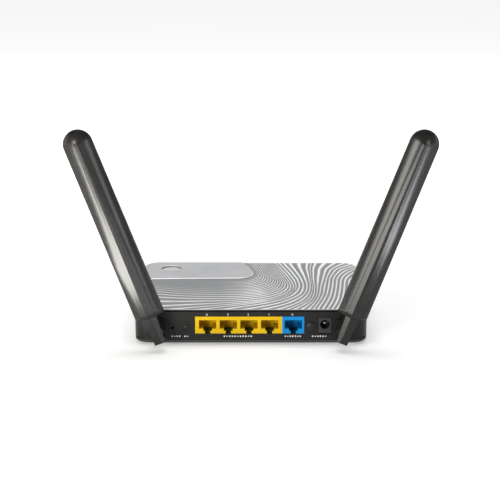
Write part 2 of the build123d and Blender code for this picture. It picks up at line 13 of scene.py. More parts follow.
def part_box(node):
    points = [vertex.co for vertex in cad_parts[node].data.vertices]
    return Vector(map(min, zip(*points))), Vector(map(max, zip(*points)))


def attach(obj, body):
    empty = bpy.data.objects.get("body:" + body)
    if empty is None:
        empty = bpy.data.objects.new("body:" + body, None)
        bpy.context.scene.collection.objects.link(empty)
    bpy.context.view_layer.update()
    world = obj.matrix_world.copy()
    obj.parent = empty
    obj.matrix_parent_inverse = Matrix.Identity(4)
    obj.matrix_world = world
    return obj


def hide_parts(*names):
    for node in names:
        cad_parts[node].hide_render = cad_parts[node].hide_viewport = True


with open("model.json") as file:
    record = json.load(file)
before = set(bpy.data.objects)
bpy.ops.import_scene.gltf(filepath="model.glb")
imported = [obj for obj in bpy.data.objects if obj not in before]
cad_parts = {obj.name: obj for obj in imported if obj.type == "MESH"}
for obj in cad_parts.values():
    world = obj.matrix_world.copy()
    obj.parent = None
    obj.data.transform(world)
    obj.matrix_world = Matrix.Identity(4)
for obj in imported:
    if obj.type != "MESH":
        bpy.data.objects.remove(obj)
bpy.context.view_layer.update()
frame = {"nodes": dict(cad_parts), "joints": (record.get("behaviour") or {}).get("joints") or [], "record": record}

MM = 0.001

# ---------------------------------------------------------------------------
# Places in metres: the case comes from the frame, the rest are the lid's own sizes
# ---------------------------------------------------------------------------
case_low, case_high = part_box("mid_frame")
REAR_Y = case_low[1]
WIDTH = case_high[0] - case_low[0]
DEPTH = case_high[1] - case_low[1]
CORNER = 10.5 * MM
LID_RISE = 0.9 * MM
LID_REAR_TOP = 25.9 * MM
LID_SLOPE = LID_RISE / DEPTH


def joint_named(name):
    """The frame's joint of that name."""
    return next(joint for joint in frame["joints"] if joint["name"] == name)


def lid_top(y):
    """Height of the lid's flat reference surface, in metres; y in millimetres from the rear face."""
    return LID_REAR_TOP + LID_SLOPE * y * MM


# ---------------------------------------------------------------------------
# Materials
# ---------------------------------------------------------------------------
# Heights over the lid's reference surface, in millimetres, between which its paint turns from a painted
# shade in the grooves to a painted highlight on the crests, and from there to the plain silver of the raised field
SHADE_TO_HIGHLIGHT_LEVELS = (-0.74, -0.22)
FIELD_LEVELS = (-0.12, -0.06)
# Parts of the noise's range that a spread and a tint stretch to their whole range
SPREAD_FROM = (0.3, 0.7)
TINT_FROM = (0.35, 0.65)


def new_material(name):
    """An empty node material with its output and principled shader."""
    material = bpy.data.materials.new(name)
    material.use_nodes = True
    tree = material.node_tree
    tree.nodes.clear()
    output = tree.nodes.new("ShaderNodeOutputMaterial")
    shader = tree.nodes.new("ShaderNodeBsdfPrincipled")
    tree.links.new(shader.outputs["BSDF"], output.inputs["Surface"])
    return material, tree, shader


def object_noise(tree, scale, detail=2.0, roughness=0.5):
    """Noise in object space; scale is in cells per metre."""
    place = tree.nodes.new("ShaderNodeTexCoord")
    noise = tree.nodes.new("ShaderNodeTexNoise")
    noise.inputs["Scale"].default_value = scale
    noise.inputs["Detail"].default_value = detail
    noise.inputs["Roughness"].default_value = roughness
    tree.links.new(place.outputs["Object"], noise.inputs["Vector"])
    return noise.outputs["Fac"]


def spread(tree, value, low, high):
    """Stretches the middle of a noise's range to the range low to high."""
    ranger = tree.nodes.new("ShaderNodeMapRange")
    ranger.inputs["From Min"].default_value = SPREAD_FROM[0]
    ranger.inputs["From Max"].default_value = SPREAD_FROM[1]
    ranger.inputs["To Min"].default_value = low
    ranger.inputs["To Max"].default_value = high
    tree.links.new(value, ranger.inputs["Value"])
    return ranger.outputs["Result"]


def tint(tree, value, dark, light):
    """Colour ramp between two linear colours."""
    ramp = tree.nodes.new("ShaderNodeValToRGB")
    for stop, position, colour in zip(ramp.color_ramp.elements, TINT_FROM, (dark, light)):
        stop.position = position
        stop.color = (*colour, 1.0)
    tree.links.new(value, ramp.inputs["Fac"])
    return ramp.outputs["Color"]


def bump(tree, shader, value, strength, distance):
    """Fine relief from a value."""
    node = tree.nodes.new("ShaderNodeBump")
    node.inputs["Strength"].default_value = strength
    node.inputs["Distance"].default_value = distance
    tree.links.new(value, node.inputs["Height"])
    tree.links.new(node.outputs["Normal"], shader.inputs["Normal"])


def plastic(name, dark, light, rough, grain=2600.0, depth=0.03 * MM, strength=0.25, gloss=0.5):
    """Moulded plastic: slight colour drift, uneven gloss and a fine moulded grain."""
    material, tree, shader = new_material(name)
    drift = object_noise(tree, 70.0, 3.0)
    fine = object_noise(tree, grain, 2.0, 0.6)
    tree.links.new(tint(tree, drift, dark, light), shader.inputs["Base Color"])
    tree.links.new(spread(tree, fine, rough[0], rough[1]), shader.inputs["Roughness"])
    bump(tree, shader, fine, strength, depth)
    shader.inputs["Specular IOR Level"].default_value = gloss
    return material


def relief_value(tree, low, high):
    """0 below one height over the lid's reference surface and 1 above another, both in millimetres."""
    place = tree.nodes.new("ShaderNodeTexCoord")
    parts = tree.nodes.new("ShaderNodeSeparateXYZ")
    slope = tree.nodes.new("ShaderNodeMath")
    slope.operation = "MULTIPLY_ADD"
    slope.inputs[1].default_value = -LID_SLOPE
    ranger = tree.nodes.new("ShaderNodeMapRange")
    ranger.interpolation_type = "SMOOTHSTEP"
    level = LID_REAR_TOP - LID_SLOPE * REAR_Y
    ranger.inputs["From Min"].default_value = level + low * MM
    ranger.inputs["From Max"].default_value = level + high * MM
    tree.links.new(place.outputs["Object"], parts.inputs["Vector"])
    tree.links.new(parts.outputs["Y"], slope.inputs[0])
    tree.links.new(parts.outputs["Z"], slope.inputs[2])
    tree.links.new(slope.outputs["Value"], ranger.inputs["Value"])
    return ranger.outputs["Result"]


def speckled_paint(name, dark, light, rough, painted_shade_and_highlight=None, fleck=5200.0):
    """Silver paint: fine flecks over a slow drift; the optional pair of colours is a painted shade for the grooves
    and a painted highlight for the crests.
    """
    material, tree, shader = new_material(name)
    drift = object_noise(tree, 45.0, 2.0)
    flecks = object_noise(tree, fleck, 1.0, 0.7)
    mix = tree.nodes.new("ShaderNodeMix")
    mix.data_type = "FLOAT"
    mix.inputs["Factor"].default_value = 0.6
    tree.links.new(drift, mix.inputs["A"])
    tree.links.new(flecks, mix.inputs["B"])
    colour = tint(tree, mix.outputs["Result"], dark, light)
    if painted_shade_and_highlight is not None:
        # Painted shade low in the grooves and a painted highlight on the crests, chosen by height over the lid
        relief = tree.nodes.new("ShaderNodeMix")
        relief.data_type = "RGBA"
        relief.inputs["A"].default_value = (*painted_shade_and_highlight[0], 1.0)
        relief.inputs["B"].default_value = (*painted_shade_and_highlight[1], 1.0)
        tree.links.new(relief_value(tree, *SHADE_TO_HIGHLIGHT_LEVELS), relief.inputs["Factor"])
        field = tree.nodes.new("ShaderNodeMix")
        field.data_type = "RGBA"
        tree.links.new(relief_value(tree, *FIELD_LEVELS), field.inputs["Factor"])
        tree.links.new(relief.outputs["Result"], field.inputs["A"])
        tree.links.new(colour, field.inputs["B"])
        colour = field.outputs["Result"]
    tree.links.new(colour, shader.inputs["Base Color"])
    tree.links.new(spread(tree, flecks, rough[0], rough[1]), shader.inputs["Roughness"])
    bump(tree, shader, flecks, 0.12, 0.02 * MM)
    shader.inputs["Metallic"].default_value = 0.45
    return material


def metal(name, dark, light, rough, scale=900.0):
    """Plain metal with slightly uneven gloss."""
    material, tree, shader = new_material(name)
    uneven = object_noise(tree, scale, 3.0)
    tree.links.new(tint(tree, uneven, dark, light), shader.inputs["Base Color"])
    tree.links.new(spread(tree, uneven, rough[0], rough[1]), shader.inputs["Roughness"])
    bump(tree, shader, uneven, 0.08, 0.02 * MM)
    shader.inputs["Metallic"].default_value = 1.0
    return material


def clear_plastic(name):
    """Clear moulded plastic of the light guide."""
    material, tree, shader = new_material(name)
    haze = object_noise(tree, 500.0, 2.0)
    tree.links.new(spread(tree, haze, 0.08, 0.2), shader.inputs["Roughness"])
    tree.links.new(tint(tree, haze, (0.80, 0.83, 0.84), (0.90, 0.92, 0.92)), shader.inputs["Base Color"])
    bump(tree, shader, haze, 0.05, 0.02 * MM)
    shader.inputs["Transmission Weight"].default_value = 0.7
    return material


def grey(value, warm=1.0):
    """A grey, warmer when warm is over 1."""
    return (value * warm, value, value / warm)


LOOKS = {
    # The lid's silver has a painted shade in its grooves and a painted highlight on its crests
    "silver_lid": speckled_paint("silver_paint_painted_shade", (0.35, 0.355, 0.365), (0.44, 0.445, 0.455), (0.38, 0.5),
                                 ((0.17, 0.175, 0.18), (0.88, 0.885, 0.90))),
    "silver_button": speckled_paint("silver_button", (0.44, 0.445, 0.455), (0.54, 0.545, 0.555),
                                    (0.36, 0.46)),
    "black_case": plastic("case_plastic", grey(0.006, 1.04), grey(0.009, 1.04), (0.34, 0.44), gloss=0.22),
    "base_plastic": plastic("base_plastic", grey(0.014, 1.03), grey(0.019, 1.03), (0.36, 0.46)),
    "aerial_plastic": plastic("aerial_plastic", grey(0.006, 1.05), grey(0.009, 1.04), (0.22, 0.29), 3400.0,
                              0.02 * MM, 0.08, gloss=0.30),
    "black_button": plastic("button_plastic", grey(0.008), grey(0.012), (0.42, 0.50), 1800.0, gloss=0.2),
    "yellow_socket": plastic("yellow_plastic", (0.50, 0.315, 0.002), (0.55, 0.35, 0.003), (0.33, 0.42),
                             1500.0, gloss=0.15),
    "blue_socket": plastic("blue_plastic", (0.001, 0.17, 0.44), (0.002, 0.20, 0.50), (0.33, 0.42),
                           1500.0, gloss=0.15),
    "black_socket": plastic("socket_plastic", grey(0.010), grey(0.014), (0.30, 0.42), 1500.0),
    "gold_contact": metal("gold_contact", (0.80, 0.50, 0.16), (0.92, 0.62, 0.24), (0.2, 0.32)),
    # This metal is darker than bare steel: painted shade of the recess that the jack's centre pin sits in
    "bright_pin": metal("bright_pin", (0.30, 0.29, 0.27), (0.40, 0.39, 0.37), (0.40, 0.52)),
    "steel": metal("zinc_steel", (0.38, 0.38, 0.39), (0.52, 0.52, 0.53), (0.28, 0.42)),
    "rubber": plastic("foot_rubber", grey(0.014), grey(0.020), (0.75, 0.88), 1400.0, 0.05 * MM, 0.4),
    "board": plastic("solder_mask", (0.006, 0.055, 0.016), (0.010, 0.080, 0.024), (0.25, 0.38), 900.0),
    "chip": plastic("chip_epoxy", grey(0.012), grey(0.018), (0.5, 0.62), 3000.0),
    "thermal": plastic("thermal_pad", (0.16, 0.17, 0.20), (0.20, 0.21, 0.24), (0.7, 0.8), 1200.0),
    "heat_sink": metal("bare_aluminium", (0.55, 0.56, 0.57), (0.68, 0.69, 0.70), (0.32, 0.45)),
    "tin_can": metal("tin_plate", (0.62, 0.62, 0.60), (0.74, 0.74, 0.72), (0.25, 0.4)),
    "capacitor": plastic("capacitor_sleeve", (0.010, 0.010, 0.022), (0.016, 0.016, 0.032), (0.25, 0.35),
                         700.0),
    "indicator": plastic("lamp_cap", (0.70, 0.70, 0.60), (0.80, 0.80, 0.70), (0.2, 0.3), 900.0),
    "clear_guide": clear_plastic("clear_guide"),
    "lead_jacket": plastic("lead_jacket", grey(0.012), grey(0.016), (0.4, 0.5), 1500.0),
}
WHITE_PRINT = plastic("white_print", (0.52, 0.53, 0.52), (0.62, 0.63, 0.62), (0.5, 0.6), 2400.0)


def dress_frame():
    """Every CAD node takes the look of its material slot in the record."""
    for entry in frame["record"]["subparts"]:
        node = frame["nodes"][entry["node"]]
        for holder in node.material_slots:
            holder.material = LOOKS[entry["material_slot"]]


# ---------------------------------------------------------------------------
# Mesh helpers
# ---------------------------------------------------------------------------
def add_object(name, mesh, material, smooth_angle=None):
    """Links a mesh as an object with one material; shades it smooth below an angle in degrees."""
    piece = bpy.data.objects.new(name, mesh)
    bpy.context.scene.collection.objects.link(piece)
    mesh.materials.clear()
    mesh.materials.append(material)
    if smooth_angle is not None:
        mesh.shade_smooth()
        mesh.set_sharp_from_angle(angle=math.radians(smooth_angle))
    return piece


def mesh_of(name, bm):
    """Turns a bmesh into a mesh with outward normals."""
    bmesh.ops.recalc_face_normals(bm, faces=bm.faces)
    mesh = bpy.data.meshes.new(name)
    bm.to_mesh(mesh)
    bm.free()
    return mesh


def through_points(points, count):
    """Smooth curve through given points, sampled count times (uniform Catmull-Rom)."""
    points = np.asarray(points, dtype=float)
    ends = np.vstack([2 * points[0] - points[1], points, 2 * points[-1] - points[-2]])
    at = np.linspace(0, len(points) - 1, count)
    span = np.minimum(at.astype(int), len(points) - 2)
    u = (at - span)[:, None]
    a, b, c, d = (ends[span + step] for step in range(4))
    return 0.5 * (2 * b + (c - a) * u + (2 * a - 5 * b + 4 * c - d) * u**2 + (3 * b - a - 3 * c + d) * u**3)


# ---------------------------------------------------------------------------
# Lid: ridges that flow round a smooth raised field. Guide lines are in
# millimetres, x across and y from the rear face, from the outermost inwards.
# Each has the number of the ridge that runs along it. Most points were read off
# and evened out. The first line lies outside the lid, to fill its right.
# ---------------------------------------------------------------------------
GUIDES = [
    (-9, [(84, -8), (86, 2), (88, 10), (90, 18), (92, 26),
          (94, 34), (96, 42), (98, 50), (100, 58)]),
    (2, [(49, -8), (53, 6), (56.5, 20), (59, 35), (61, 52),
         (63, 70), (67, 83), (72.5, 92), (84, 100)]),
    (4, [(43, -8), (46.5, 6), (50.3, 20), (53.3, 35), (55.5, 52),
         (57.5, 70), (60.5, 83), (65, 95), (80, 111)]),
    (6, [(35, -8), (41, 6), (45.3, 20), (48.2, 35), (50, 52),
         (52.5, 70), (54.3, 83), (57, 96), (66, 114)]),
    (8, [(22, -8), (33.5, 6), (41, 20), (44.3, 35), (45.3, 52),
         (45.4, 70), (46, 83), (47, 98), (50, 114)]),
    (10, [(8, -8), (24.5, 6), (34.5, 19), (40.3, 35), (42.3, 52),
          (42.3, 70), (42.1, 83), (41.8, 98), (43.5, 114)]),
    (12, [(-22, -8), (7, 6), (21.5, 16), (33.5, 32), (37.4, 52),
          (36.3, 70), (34.3, 83), (31.5, 98), (28.5, 114)]),
    (15, [(-84, -7), (-40, 4.4), (-8, 12.8), (14, 21), (27, 36),
          (30.3, 52), (27.5, 73), (22.5, 94), (17.5, 114)]),
    (18, [(-84, 31), (-50, 24.5), (-14, 24), (8, 29.5), (20.5, 41),
          (24.5, 56), (22, 73), (18, 92), (14.5, 114)]),
    (23, [(-84, 57), (-50, 48.5), (-16, 44), (2, 44.5), (12.5, 53),
          (16.2, 66), (14, 79), (11.5, 94), (8, 114)]),
    (31, [(-84, 65.5), (-66, 68.3), (-20, 69.6), (-6, 70.6), (0.4, 75.5),
          (2.3, 83), (0.8, 92), (-2.2, 102), (-8, 114)]),
]
RIDGE_PHASES = (0.0, 0.07, 0.14, 0.22, 0.36, 0.64, 0.78, 0.86, 0.93)
ALONG = 110
GROOVE_LEVEL = -0.72
WAVE_HEIGHT = 0.58
WAVE_SLOPE = 0.48
CREST_POWER = 2.6
# Where the relief dies out: from one ridge number on, and to the left of one x, there the more
# from another ridge number on. Each has its start, the length of the change and, where the
# relief does not end altogether, the share that it loses
FIELD_FADE = (28.5, 2.5)
LEFT_FADE = (8.0, 30.0, 0.35)
INNER_FADE = (18.0, 7.0, 0.5)
# Steps from the last ridge line up to the raised field: distance inwards and height
FIELD_STEPS = ((0.3, -0.55), (0.55, -0.22), (0.85, -0.06), (1.3, 0.0), (2.2, -0.03))
FIELD_ROWS = 25
FAR_EDGE = [(-84, 66), (-86, 76), (-86, 86), (-86, 96), (-86, 106), (-86, 116),
            (-60, 116), (-34, 116), (-12, 116)]
# Cuts along the outline: distance inwards, and whether what lies outside goes
OUTLINE_CUTS = ((0.0, True), (0.25, False), (0.8, False))
# Band at the outline where the relief calms down to one level, and the rolled edge
EDGE_BAND = 1.6
EDGE_LEVEL = -0.4
EDGE_FLAT = 0.3
EDGE_ROLL = 0.7
ROLL_DROP = 0.2
LID_RIM = 1.0
LID_CREASE = 40
# Hole of the function button: radius in metres, then height and widening in millimetres
HOLE_RADIUS = 7.15 * MM
HOLE_LEVELS = ((-6.0, 0.0), (-0.35, 0.0), (-0.12, 0.12), (0.02, 0.42), (3.0, 0.42))
HOLE_STEPS = 72


def ridge_lines():
    """All rows of the ribbed area: plan positions (row, along, xy) and each row's ridge number."""
    numbers = [number for number, _ in GUIDES]
    curves = np.array([through_points(points, ALONG) for _, points in GUIDES])
    phase = np.array(
        [n + part for n in range(numbers[0], numbers[-1]) for part in RIDGE_PHASES] + [numbers[-1]]
    )
    slopes = np.gradient(curves, numbers, axis=0)
    span = np.clip(np.searchsorted(numbers, phase, side="right") - 1, 0, len(numbers) - 2)
    low = np.take(numbers, span)
    wide = (np.take(numbers, span + 1) - low)[:, None, None]
    u = ((phase - low)[:, None, None]) / wide
    start = curves[span] * (2 * u**3 - 3 * u**2 + 1) + slopes[span] * wide * (u**3 - 2 * u**2 + u)
    finish = curves[span + 1] * (3 * u**2 - 2 * u**3) + slopes[span + 1] * wide * (u**3 - u**2)
    return start + finish, phase


def ridge_heights(plan, phase):
    """Relief over the ribbed area, in millimetres: narrow crests on broad grooves, lower where they crowd."""
    gap = np.linalg.norm(np.gradient(plan, phase, axis=0), axis=2)
    height = np.minimum(WAVE_HEIGHT, WAVE_SLOPE * gap)
    fade = 1.0 - np.clip((phase - FIELD_FADE[0]) / FIELD_FADE[1], 0.0, 1.0)
    left = np.clip((LEFT_FADE[0] - plan[:, :, 0]) / LEFT_FADE[1], 0.0, 1.0)
    inner = np.clip((phase - INNER_FADE[0]) / INNER_FADE[1], 0.0, 1.0)[:, None]
    height = height * fade[:, None] * (1.0 - left * (LEFT_FADE[2] + INNER_FADE[2] * inner))
    wave = (0.5 + 0.5 * np.cos(2 * np.pi * phase)) ** CREST_POWER
    return GROOVE_LEVEL + height * wave[:, None]


def outline_tangents(inset, per_corner=10):
    """Points and outward normals of the lid's rounded outline, in millimetres, as tangent lines."""
    half = WIDTH / MM / 2
    deep = DEPTH / MM
    radius = CORNER / MM
    lines = []
    corners = ((half, deep, 0), (-half, deep, 90), (-half, 0, 180), (half, 0, 270))
    for x, y, start in corners:
        middle = Vector((x - math.copysign(radius, x), y + (radius if y == 0 else -radius), 0))
        for index in range(per_corner + 1):
            angle = math.radians(start + 90 * index / per_corner)
            normal = Vector((math.cos(angle), math.sin(angle), 0))
            lines.append((middle + normal * (radius - inset), normal))
    return lines


def edge_distance(x, y):
    """Distance in from the rounded outline, in millimetres."""
    half = WIDTH / MM / 2
    middle = DEPTH / MM / 2
    radius = CORNER / MM
    dx = abs(x) - (half - radius)
    dy = abs(y - middle) - (middle - radius)
    if dx > 0 and dy > 0:
        return radius - math.hypot(dx, dy)
    return radius - max(dx, dy)


def grid_faces(bm, rows):
    """Quads between rows of bmesh vertices."""
    for first, second in zip(rows, rows[1:]):
        for index in range(len(first) - 1):
            bm.faces.new((first[index], first[index + 1], second[index + 1], second[index]))


def lid_surface():
    """Top skin of the lid in millimetres, z relative to the flat reference surface, cut to the outline."""
    plan, phase = ridge_lines()
    relief = ridge_heights(plan, phase)
    bm = bmesh.new()
    rows = [
        [bm.verts.new((plan[r, c, 0], plan[r, c, 1], relief[r, c])) for c in range(ALONG)]
        for r in range(len(phase))
    ]
    rim = plan[-1]
    along = np.gradient(rim, axis=0)
    along /= np.linalg.norm(along, axis=1)[:, None]
    inward = np.stack([-along[:, 1], along[:, 0]], axis=1)
    for step, height in FIELD_STEPS:
        line = rim + inward * step
        rows.append([bm.verts.new((x, y, height)) for x, y in line])
    far = through_points(FAR_EDGE, ALONG)
    reach, level = FIELD_STEPS[-1]
    near = rim + inward * reach
    for part in np.linspace(0, 1, FIELD_ROWS + 1)[1:]:
        line = near * (1 - part) + far * part
        rows.append([bm.verts.new((x, y, level)) for x, y in line])
    grid_faces(bm, rows)
    for inset, clear in OUTLINE_CUTS:
        for point, normal in outline_tangents(inset):
            everything = bm.verts[:] + bm.edges[:] + bm.faces[:]
            bmesh.ops.bisect_plane(
                bm, geom=everything, plane_co=point, plane_no=normal, clear_outer=clear
            )
    bmesh.ops.remove_doubles(bm, verts=bm.verts, dist=0.01)
    return bm


def lid():
    """Ribbed top cover with a rolled edge, closed below, with a hole for its button."""
    bm = lid_surface()
    for vert in bm.verts:
        x, y, z = vert.co
        inset = max(0.0, edge_distance(x, y))
        drop = 0.0
        if inset < EDGE_ROLL:
            drop = EDGE_ROLL - math.sqrt(EDGE_ROLL**2 - (EDGE_ROLL - inset) ** 2)
        calm = max(0.0, 1.0 - inset / EDGE_BAND)
        vert.co.z = z + (EDGE_LEVEL * min(1.0, abs(z) / EDGE_FLAT) - z) * calm - drop * ROLL_DROP
    boundary = [edge for edge in bm.edges if edge.is_boundary]
    skirt = bmesh.ops.extrude_edge_only(bm, edges=boundary)
    lower = [item for item in skirt["geom"] if isinstance(item, bmesh.types.BMVert)]
    for vert in lower:
        vert.co.z = -LID_RIM
    edges = [item for item in skirt["geom"] if isinstance(item, bmesh.types.BMEdge)]
    bmesh.ops.edgeloop_fill(bm, edges=[edge for edge in edges if edge.is_boundary])
    for vert in bm.verts:
        x, y, z = vert.co
        vert.co = (x * MM, REAR_Y + y * MM, lid_top(y) + z * MM)
    mesh = mesh_of("lid", bm)
    piece = add_object("ribbed_lid", mesh, LOOKS["silver_lid"], LID_CREASE)
    button_hole(piece)
    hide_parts("top_cover")
    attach(piece, "root")


def button_hole(piece):
    """Cuts the round hole of the function button with a soft rim."""
    low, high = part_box("function_button")
    centre = ((low[0] + high[0]) / 2, (low[1] + high[1]) / 2)
    bm = bmesh.new()
    top = lid_top((centre[1] - REAR_Y) / MM)
    loops = []
    for height, wide in HOLE_LEVELS:
        loop = []
        for index in range(HOLE_STEPS):
            angle = 2 * math.pi * index / HOLE_STEPS
            reach = HOLE_RADIUS + wide * MM
            x = centre[0] + math.cos(angle) * reach
            y = centre[1] + math.sin(angle) * reach
            loop.append(bm.verts.new((x, y, top + height * MM)))
        loops.append(loop)
    for first, second in zip(loops, loops[1:]):
        for index in range(HOLE_STEPS):
            after = (index + 1) % HOLE_STEPS
            bm.faces.new((first[index], first[after], second[after], second[index]))
    bm.faces.new(loops[0])
    bm.faces.new(loops[-1])
    cutter = add_object("hole_cutter", mesh_of("cutter", bm), LOOKS["silver_lid"])
    cut = piece.modifiers.new("hole", "BOOLEAN")
    cut.object = cutter
    cut.operation = "DIFFERENCE"
    cut.solver = "EXACT"
    depsgraph = bpy.context.evaluated_depsgraph_get()
    result = bpy.data.meshes.new_from_object(piece.evaluated_get(depsgraph))
    piece.modifiers.clear()
    piece.data = result
    bpy.data.objects.remove(cutter)
    result.set_sharp_from_angle(angle=math.radians(LID_CREASE))


# ---------------------------------------------------------------------------
# Aerial shells: a long rounded paddle with a tapering flat ridge on the rear.
# All sizes are in millimetres from the fold's pivot
# ---------------------------------------------------------------------------
LEAN = math.radians(20.7)
FOOT = 12.4
LENGTH = 145.4
HALF_FOOT = 10.0
HALF_TIP = 9.595
TIP_CENTRE = LENGTH - HALF_TIP - 0.01
SEAM_DEPTH = -0.5
BACK_SEAM = SEAM_DEPTH - 0.12
BACK = -4.0
SHELL_WALL = 1.2
FRONT_HOLLOW = 1.0
# Outline of the flat half's edge: distance inwards and depth
BACK_EDGE = [(0.0, BACK_SEAM), (0.0, -2.0), (0.12, -2.7), (0.45, -3.3), (0.95, -3.72),
             (1.6, -3.93), (2.4, BACK)]
# Half widths of the ridge's foot and of its flat top, at the paddle's foot and at its tip
RIDGE_HALVES = (4.4, 2.2)
FLAT_HALVES = (1.4, 0.5)
# Heights at the paddle's foot, and how much they sink up to its tip
CROWN_HEIGHT, CROWN_FALL = 5.0, 0.9
SHOULDER_HEIGHT, SHOULDER_FALL = 3.75, 0.2
SIDE_STEPS = 44
TIP_STEPS = 24
FLANK_STEPS = 12
SHARP_ANGLE = math.radians(18)
EDGE_RISE = 0.15
FLANK_FOOT_SLOPE = 1.0
FLANK_TOP_SLOPE = 0.30


def aerial_matrix(side):
    """Aerial's own axes: x across, y along, z out of the rear, in millimetres, to the frame."""
    pivot = Vector(joint_named(f"{side}_aerial_fold")["pos_m"])
    sign = -1 if side == "left" else 1
    across = Vector((math.cos(LEAN), 0, -sign * math.sin(LEAN)))
    out = Vector((0, -1, 0))
    along = out.cross(across)
    turn = Matrix((across, along, out)).transposed().to_4x4()
    return Matrix.Translation(pivot) @ turn @ Matrix.Scale(MM, 4)


def share(along):
    """0 at the foot of the paddle, 1 at the centre of its round tip."""
    return (along - FOOT) / (TIP_CENTRE - FOOT)


def ring(half_foot, half_tip, inset=0.0):
    """Points round the paddle, from its right foot over the tip to its left foot."""
    foot = FOOT + inset
    right = []
    for index in range(SIDE_STEPS):
        along = foot + (TIP_CENTRE - foot) * index / SIDE_STEPS
        half = half_foot + (half_tip - half_foot) * share(along) - inset
        right.append((half, along))
    tip = []
    for index in range(TIP_STEPS + 1):
        angle = math.pi * index / TIP_STEPS
        reach = half_tip - inset
        tip.append((reach * math.cos(angle), TIP_CENTRE + reach * math.sin(angle)))
    return right + tip + [(-half, along) for half, along in reversed(right)]


def crown(along):
    """Height of the ridge's flat top; it sinks a little towards the tip."""
    return CROWN_HEIGHT - CROWN_FALL * min(1.0, share(along))


def shoulder(along):
    """Height of the ridge's outer edges."""
    return SHOULDER_HEIGHT - SHOULDER_FALL * min(1.0, share(along))


def front_loops(bm):
    """Rings from the seam over the flank and the ridge's bevel to its flat top."""
    outer = ring(HALF_FOOT, HALF_TIP)
    edge = ring(*RIDGE_HALVES)
    flat = ring(*FLAT_HALVES)
    loops = [[bm.verts.new((x, y, SEAM_DEPTH)) for x, y in outer]]
    full = (FLANK_FOOT_SLOPE + FLANK_TOP_SLOPE) / 2
    for step in range(FLANK_STEPS + 1):
        part = step / FLANK_STEPS
        bend = (FLANK_TOP_SLOPE - FLANK_FOOT_SLOPE) * part**2 / 2
        rise = (FLANK_FOOT_SLOPE * part + bend) / full
        loop = []
        for (x, y), (ex, ey) in zip(outer, edge):
            height = EDGE_RISE + (shoulder(ey) - EDGE_RISE) * rise
            loop.append(bm.verts.new((x + (ex - x) * part, y + (ey - y) * part, height)))
        loops.append(loop)
    for part in (0.5, 1.0):
        loop = []
        for (x, y), (fx, fy) in zip(edge, flat):
            height = shoulder(y) + (crown(fy) - shoulder(y)) * part
            loop.append(bm.verts.new((x + (fx - x) * part, y + (fy - y) * part, height)))
        loops.append(loop)
    return loops


def front_shell(side):
    """Ridged half of an aerial."""
    bm = bmesh.new()
    loops = front_loops(bm)
    grid_faces(bm, loops)
    top = loops[-1]
    last = len(top) - 1
    for index in range(last // 2):
        corners = (top[index], top[index + 1], top[last - 1 - index], top[last - index])
        bm.faces.new(dict.fromkeys(corners))
    seam_ring(bm, loops[0], SEAM_DEPTH, FRONT_HOLLOW)
    bm.faces.new([loop[0] for loop in loops] + [loop[-1] for loop in reversed(loops)])
    for loop in (loops[-1], loops[-3], loops[1]):
        mark_sharp(loop)
    finish_shell(bm, side, "front_shell")


def back_shell(side):
    """Flat half of an aerial."""
    bm = bmesh.new()
    loops = []
    for inset, depth in BACK_EDGE:
        outline = ring(HALF_FOOT - inset, HALF_TIP - inset)
        loops.append([bm.verts.new((x, y, depth)) for x, y in outline])
    grid_faces(bm, loops)
    bm.faces.new(loops[-1])
    seam_ring(bm, loops[0], BACK_SEAM, BACK + SHELL_WALL)
    bm.faces.new([loop[0] for loop in loops] + [loop[-1] for loop in reversed(loops)])
    finish_shell(bm, side, "back_shell")


def mark_sharp(loop):
    """Keeps the edges of a loop crisp in smooth shading."""
    for first, second in zip(loop, loop[1:]):
        shared = set(first.link_edges) & set(second.link_edges)
        for edge in shared:
            edge.smooth = False


def seam_ring(bm, rim, depth, bottom):
    """Closes a half shell at its seam with a rim and a shallow hollow."""
    outline = ring(HALF_FOOT, HALF_TIP, SHELL_WALL)
    lips = [bm.verts.new((x, y, depth)) for x, y in outline]
    inner = [bm.verts.new((x, y, bottom)) for x, y in outline]
    grid_faces(bm, [rim, lips, inner])
    bm.faces.new((rim[0], lips[0], lips[-1], rim[-1]))
    bm.faces.new((lips[0], inner[0], inner[-1], lips[-1]))
    bm.faces.new(inner)


def finish_shell(bm, side, kind):
    """Places a half shell, shades it and lets it ride on its aerial."""
    bm.transform(aerial_matrix(side))
    for face in bm.faces:
        face.smooth = True
    for edge in bm.edges:
        if edge.is_manifold and edge.calc_face_angle() > SHARP_ANGLE:
            edge.smooth = False
    piece = add_object(f"{side}_aerial_{kind}", mesh_of(kind, bm), LOOKS["aerial_plastic"])
    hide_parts(f"{side}_{kind}")
    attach(piece, f"{side}_aerial")


# ---------------------------------------------------------------------------
# Printed marks on the rear wall: digits over the sockets and generic signs
# ---------------------------------------------------------------------------
PRINT_LIFT = 0.04 * MM
# Places across and heights, in millimetres
DIGITS = (("4", -29.8), ("3", -15.6), ("2", -1.9), ("1", 12.2), ("0", 27.9))
DIGIT_Z = 21.6
DIGIT_SIZE = 2.2
MARKS = (("reset_mark", -54.2, -47.3), ("fn_mark", -45.5, -42.2), ("lan_mark", -18.9, 1.0),
         ("wan_mark", 22.4, 34.2), ("power_mark", 40.8, 51.4))
MARK_Z = 6.3
DASH_PITCH = 1.75
DASH_SHARE = 0.5
DASH_HEIGHTS = (1.0, 0.65, 1.0, 1.0)


def print_digit(text, x, z, size):
    """One printed digit."""
    curve = bpy.data.curves.new(f"digit_{text}", "FONT")
    curve.body = text
    curve.size = size * MM
    curve.align_x = "CENTER"
    curve.align_y = "CENTER"
    curve.extrude = PRINT_LIFT / 2
    holder = bpy.data.objects.new(f"digit_{text}", curve)
    bpy.context.scene.collection.objects.link(holder)
    mesh = bpy.data.meshes.new_from_object(holder)
    bpy.data.objects.remove(holder)
    upright = Matrix.Rotation(math.pi / 2, 4, "X")
    mesh.transform(Matrix.Translation((x * MM, REAR_Y - PRINT_LIFT / 2, z * MM)) @ upright)
    piece = add_object(f"digit_{text}", mesh, WHITE_PRINT)
    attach(piece, "root")


